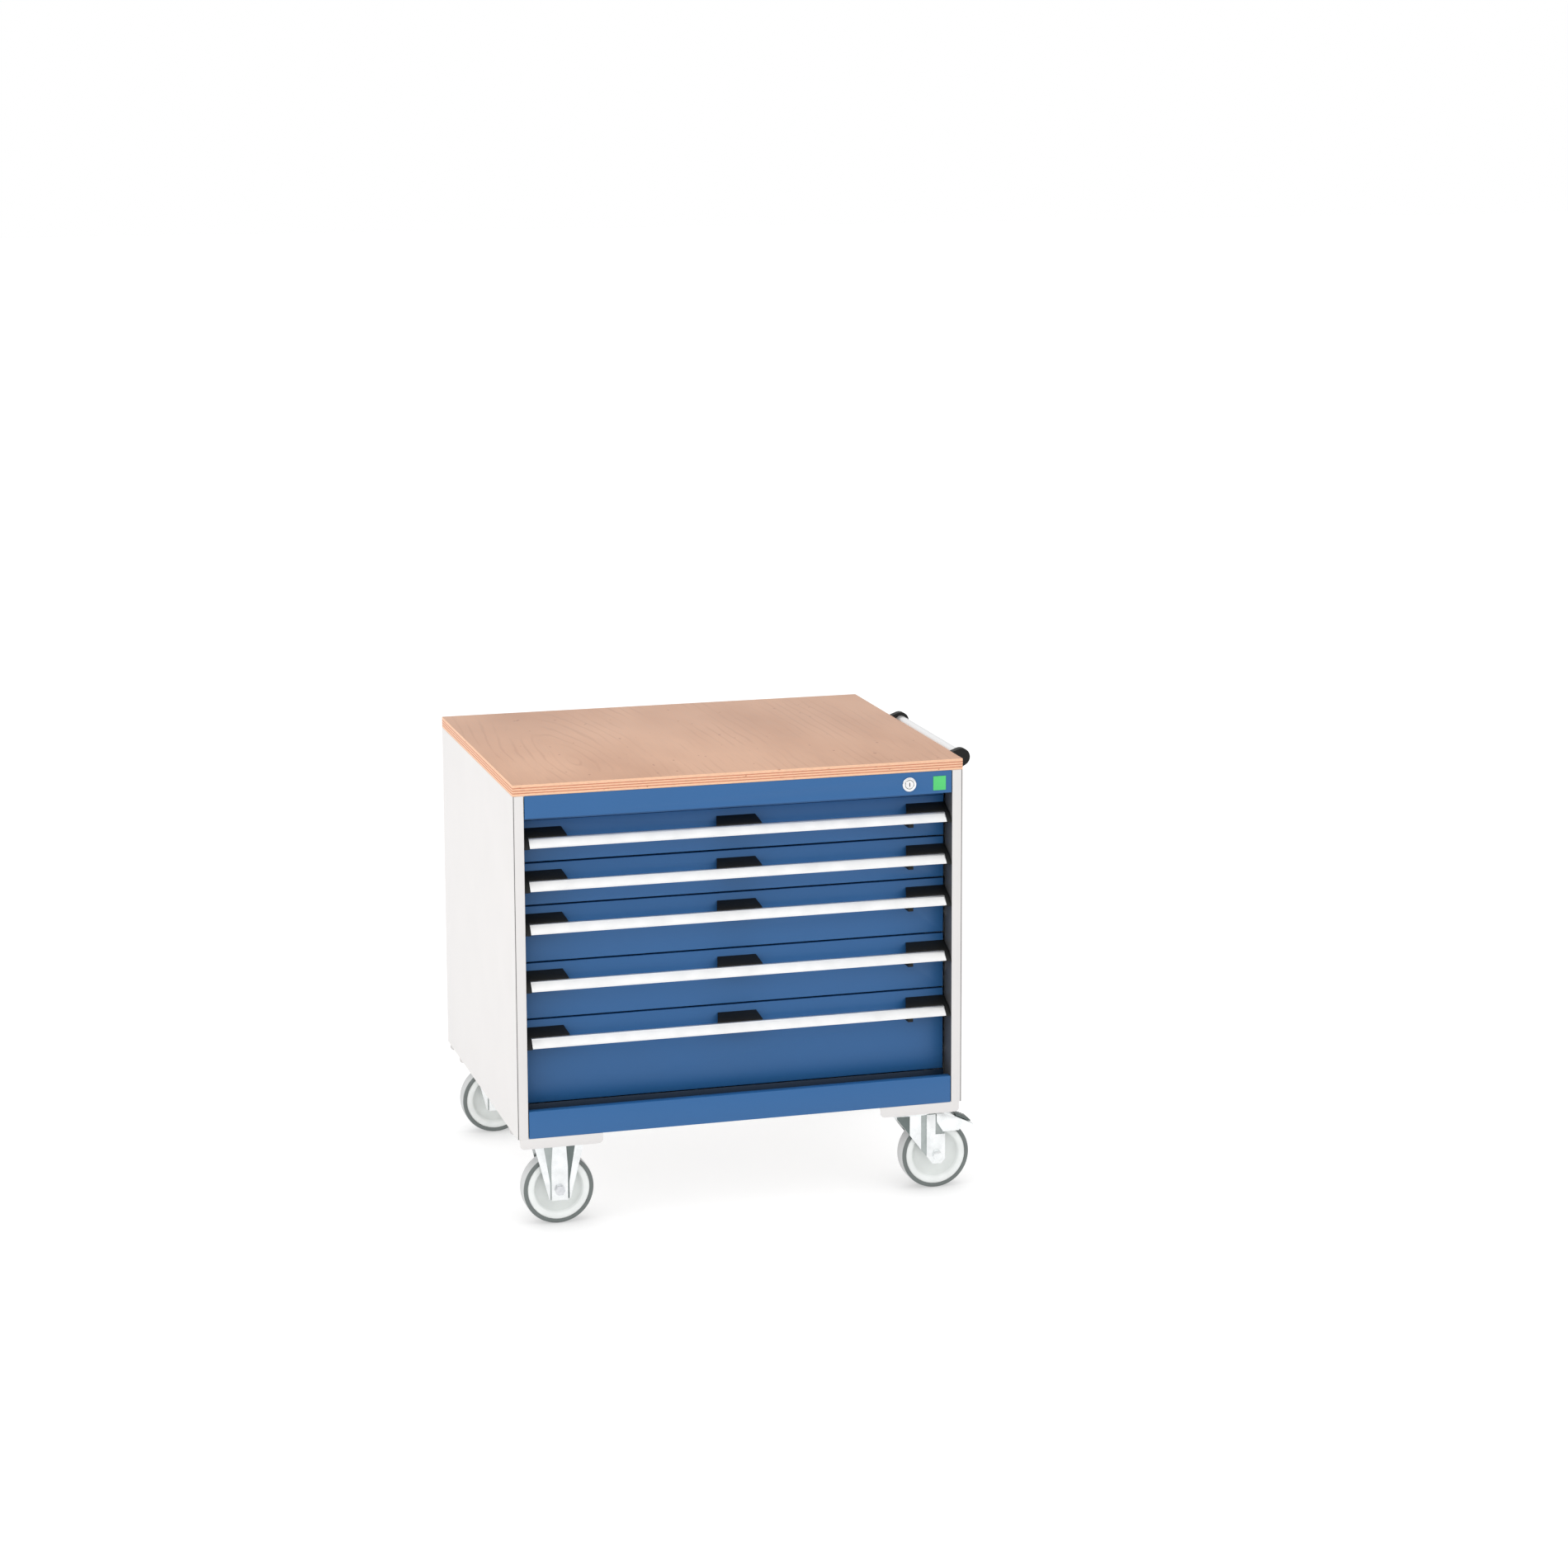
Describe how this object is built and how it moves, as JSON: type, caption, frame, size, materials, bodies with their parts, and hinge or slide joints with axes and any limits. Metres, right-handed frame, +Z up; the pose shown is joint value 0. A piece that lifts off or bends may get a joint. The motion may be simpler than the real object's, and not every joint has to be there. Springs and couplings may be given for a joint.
{
  "type": "mobile workbench with drawers",
  "caption": "Mobile workbench: steel drawer cabinet under a plywood top, on fixed and braked swivel castors, with a side push handle and a central lock.",
  "frame": {"origin": "on the floor, at the middle of the whole object's box", "axes": "+Z up; +X along the length towards the push handle; drawers open towards -Y"},
  "size_m": [0.859, 0.652, 0.785],
  "materials": {
    "plywood": "clear-lacquered birch plywood",
    "grey_paint": "light grey fine-texture powder coat",
    "blue_paint": "blue fine-texture powder coat",
    "zinc": "bright zinc plated pressed steel",
    "fixings": "zinc plated",
    "lock_chrome": "satin nickel",
    "aluminium": "satin anodised",
    "black_plastic": "moulded, fine texture",
    "wheel_nylon": "moulded polyamide",
    "grey_rubber": "elastic grey rubber"
  },
  "bodies": {
    "carcass": {"worktop": "plywood", "left_side_panel": "grey_paint", "right_side_panel": "grey_paint", "back_panel": "grey_paint", "top_panel": "grey_paint", "base_panel": "grey_paint", "top_fascia": "blue_paint", "bottom_fascia": "blue_paint", "cabinet_runners": "zinc", "lock_housing": "lock_chrome", "castor_brackets": "grey_paint", "push_handle_tube": "aluminium", "push_handle_brackets": "black_plastic", "carcass_fasteners": "fixings", "fixed_castor_forks": "zinc", "swivel_castor_plates": "zinc"},
    "lock_cylinder": {"lock_cylinder": "lock_chrome"},
    "lock_bar": {"lock_bar": "zinc"},
    "drawer_1": {"drawer_1_body": "grey_paint", "drawer_1_front": "blue_paint", "drawer_1_handle": "aluminium", "drawer_1_brackets": "black_plastic"},
    "drawer_1_catch": {"drawer_1_catch": "black_plastic"},
    "drawer_1_slides": {"drawer_1_slides": "zinc"},
    "drawer_2": {"drawer_2_body": "grey_paint", "drawer_2_front": "blue_paint", "drawer_2_handle": "aluminium", "drawer_2_brackets": "black_plastic"},
    "drawer_2_catch": {"drawer_2_catch": "black_plastic"},
    "drawer_2_slides": {"drawer_2_slides": "zinc"},
    "drawer_3": {"drawer_3_body": "grey_paint", "drawer_3_front": "blue_paint", "drawer_3_handle": "aluminium", "drawer_3_brackets": "black_plastic"},
    "drawer_3_catch": {"drawer_3_catch": "black_plastic"},
    "drawer_3_slides": {"drawer_3_slides": "zinc"},
    "drawer_4": {"drawer_4_body": "grey_paint", "drawer_4_front": "blue_paint", "drawer_4_handle": "aluminium", "drawer_4_brackets": "black_plastic"},
    "drawer_4_catch": {"drawer_4_catch": "black_plastic"},
    "drawer_4_slides": {"drawer_4_slides": "zinc"},
    "drawer_5": {"drawer_5_body": "grey_paint", "drawer_5_front": "blue_paint", "drawer_5_handle": "aluminium", "drawer_5_brackets": "black_plastic"},
    "drawer_5_catch": {"drawer_5_catch": "black_plastic"},
    "drawer_5_slides": {"drawer_5_slides": "zinc"},
    "front_left_wheel": {"front_left_wheel_core": "wheel_nylon", "front_left_tyre": "grey_rubber"},
    "rear_left_wheel": {"rear_left_wheel_core": "wheel_nylon", "rear_left_tyre": "grey_rubber"},
    "front_right_wheel": {"front_right_wheel_core": "wheel_nylon", "front_right_tyre": "grey_rubber"},
    "front_right_swivel": {"front_right_swivel_fork": "zinc"},
    "front_right_pedal": {"front_right_brake_pedal": "zinc"},
    "rear_right_wheel": {"rear_right_wheel_core": "wheel_nylon", "rear_right_tyre": "grey_rubber"},
    "rear_right_swivel": {"rear_right_swivel_fork": "zinc"},
    "rear_right_pedal": {"rear_right_brake_pedal": "zinc"}
  },
  "joints": [
    {"name": "drawer_1_slide", "type": "slide", "parent": "carcass", "child": "drawer_1", "axis": [0, -1, 0], "range_m": [0, 0.55]},
    {"name": "drawer_1_runner_slide", "type": "slide", "parent": "carcass", "child": "drawer_1_slides", "axis": [0, -1, 0], "range_m": [0, 0.275]},
    {"name": "drawer_1_catch_press", "type": "slide", "parent": "drawer_1", "child": "drawer_1_catch", "axis": [0, 0, 1], "range_m": [0, 0.004], "stiffness_N_per_m": 150, "springref_m": -0.002},
    {"name": "drawer_2_slide", "type": "slide", "parent": "carcass", "child": "drawer_2", "axis": [0, -1, 0], "range_m": [0, 0.55]},
    {"name": "drawer_2_runner_slide", "type": "slide", "parent": "carcass", "child": "drawer_2_slides", "axis": [0, -1, 0], "range_m": [0, 0.275]},
    {"name": "drawer_2_catch_press", "type": "slide", "parent": "drawer_2", "child": "drawer_2_catch", "axis": [0, 0, 1], "range_m": [0, 0.004], "stiffness_N_per_m": 150, "springref_m": -0.002},
    {"name": "drawer_3_slide", "type": "slide", "parent": "carcass", "child": "drawer_3", "axis": [0, -1, 0], "range_m": [0, 0.55]},
    {"name": "drawer_3_runner_slide", "type": "slide", "parent": "carcass", "child": "drawer_3_slides", "axis": [0, -1, 0], "range_m": [0, 0.275]},
    {"name": "drawer_3_catch_press", "type": "slide", "parent": "drawer_3", "child": "drawer_3_catch", "axis": [0, 0, 1], "range_m": [0, 0.004], "stiffness_N_per_m": 150, "springref_m": -0.002},
    {"name": "drawer_4_slide", "type": "slide", "parent": "carcass", "child": "drawer_4", "axis": [0, -1, 0], "range_m": [0, 0.55]},
    {"name": "drawer_4_runner_slide", "type": "slide", "parent": "carcass", "child": "drawer_4_slides", "axis": [0, -1, 0], "range_m": [0, 0.275]},
    {"name": "drawer_4_catch_press", "type": "slide", "parent": "drawer_4", "child": "drawer_4_catch", "axis": [0, 0, 1], "range_m": [0, 0.004], "stiffness_N_per_m": 150, "springref_m": -0.002},
    {"name": "drawer_5_slide", "type": "slide", "parent": "carcass", "child": "drawer_5", "axis": [0, -1, 0], "range_m": [0, 0.55]},
    {"name": "drawer_5_runner_slide", "type": "slide", "parent": "carcass", "child": "drawer_5_slides", "axis": [0, -1, 0], "range_m": [0, 0.275]},
    {"name": "drawer_5_catch_press", "type": "slide", "parent": "drawer_5", "child": "drawer_5_catch", "axis": [0, 0, 1], "range_m": [0, 0.004], "stiffness_N_per_m": 150, "springref_m": -0.002},
    {"name": "lock_turn", "type": "hinge", "parent": "carcass", "child": "lock_cylinder", "pos_m": [0.2725, -0.324, 0.744], "axis": [0, -1, 0], "range_deg": [0, 90]},
    {"name": "lock_bar_lift", "type": "slide", "parent": "carcass", "child": "lock_bar", "axis": [0, 0, 1], "range_m": [0, 0.01414]},
    {"name": "front_left_roll", "type": "hinge", "parent": "carcass", "child": "front_left_wheel", "pos_m": [-0.3525, -0.277, 0.0625], "axis": [0, 1, 0], "continuous": true},
    {"name": "rear_left_roll", "type": "hinge", "parent": "carcass", "child": "rear_left_wheel", "pos_m": [-0.3525, 0.279, 0.0625], "axis": [0, 1, 0], "continuous": true},
    {"name": "front_right_swivel", "type": "hinge", "parent": "carcass", "child": "front_right_swivel", "pos_m": [0.2935, -0.277, 0.145], "axis": [0, 0, 1], "continuous": true},
    {"name": "front_right_brake", "type": "hinge", "parent": "front_right_swivel", "child": "front_right_pedal", "pos_m": [0.3395, -0.277, 0.1295], "axis": [0, 1, 0], "range_deg": [0, 10]},
    {"name": "front_right_roll", "type": "hinge", "parent": "front_right_swivel", "child": "front_right_wheel", "pos_m": [0.3325, -0.277, 0.0625], "axis": [0, 1, 0], "continuous": true},
    {"name": "rear_right_swivel", "type": "hinge", "parent": "carcass", "child": "rear_right_swivel", "pos_m": [0.2935, 0.279, 0.145], "axis": [0, 0, 1], "continuous": true},
    {"name": "rear_right_brake", "type": "hinge", "parent": "rear_right_swivel", "child": "rear_right_pedal", "pos_m": [0.3395, 0.279, 0.1295], "axis": [0, 1, 0], "range_deg": [0, 10]},
    {"name": "rear_right_roll", "type": "hinge", "parent": "rear_right_swivel", "child": "rear_right_wheel", "pos_m": [0.3325, 0.279, 0.0625], "axis": [0, 1, 0], "continuous": true}
  ],
  "couplings": [
    {"joint": "drawer_1_runner_slide", "follows": "drawer_1_slide", "ratio": 0.5},
    {"joint": "drawer_2_runner_slide", "follows": "drawer_2_slide", "ratio": 0.5},
    {"joint": "drawer_3_runner_slide", "follows": "drawer_3_slide", "ratio": 0.5},
    {"joint": "drawer_4_runner_slide", "follows": "drawer_4_slide", "ratio": 0.5},
    {"joint": "drawer_5_runner_slide", "follows": "drawer_5_slide", "ratio": 0.5},
    {"joint": "lock_turn", "follows": "lock_bar_lift", "rad_per_m": 111.07}
  ]
}
